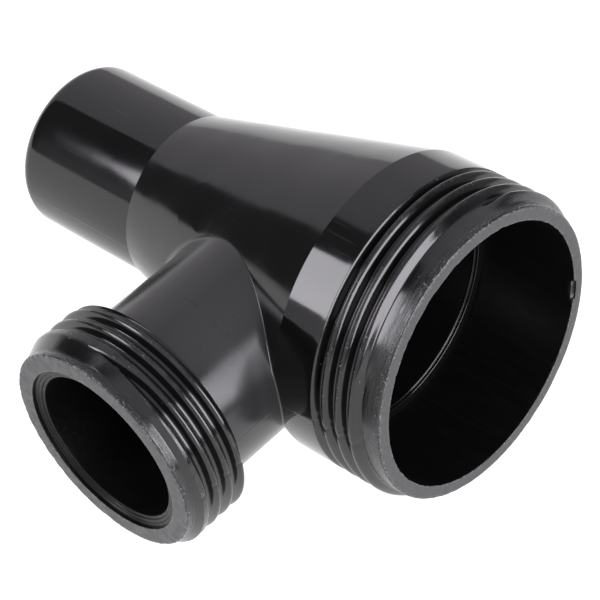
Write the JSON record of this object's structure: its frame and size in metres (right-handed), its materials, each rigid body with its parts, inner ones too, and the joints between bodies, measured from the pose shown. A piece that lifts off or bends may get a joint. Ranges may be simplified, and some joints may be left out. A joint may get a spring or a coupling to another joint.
{
  "type": "reducing threaded tee fitting",
  "caption": "Black moulded plastic reducing tee: wide male-threaded port, tapered body, plain round spigot, smaller male-threaded side branch.",
  "frame": {"origin": "centre of the large port's end face, on the axis of the run", "axes": "+X out of the large port along the run, -Y along the side branch, +Z normal to the mould parting plane, the spigot ends at -X"},
  "size_m": [0.073, 0.0605, 0.0418],
  "materials": {
    "body_plastic": "smooth glossy moulded black",
    "port_plastic": "black, satin on the sawn-flat end faces",
    "thread_plastic": "glossy moulded black with rubbed crests"
  },
  "bodies": {
    "root": {"plain_spigot": "body_plastic", "reducer_body": "body_plastic", "port_collar": "body_plastic", "port_barrel": "port_plastic", "port_thread": "thread_plastic", "port_seat_ring": "port_plastic", "branch_neck": "body_plastic", "branch_barrel": "port_plastic", "branch_thread": "thread_plastic", "branch_seat_ring": "port_plastic"}
  },
  "joints": []
}
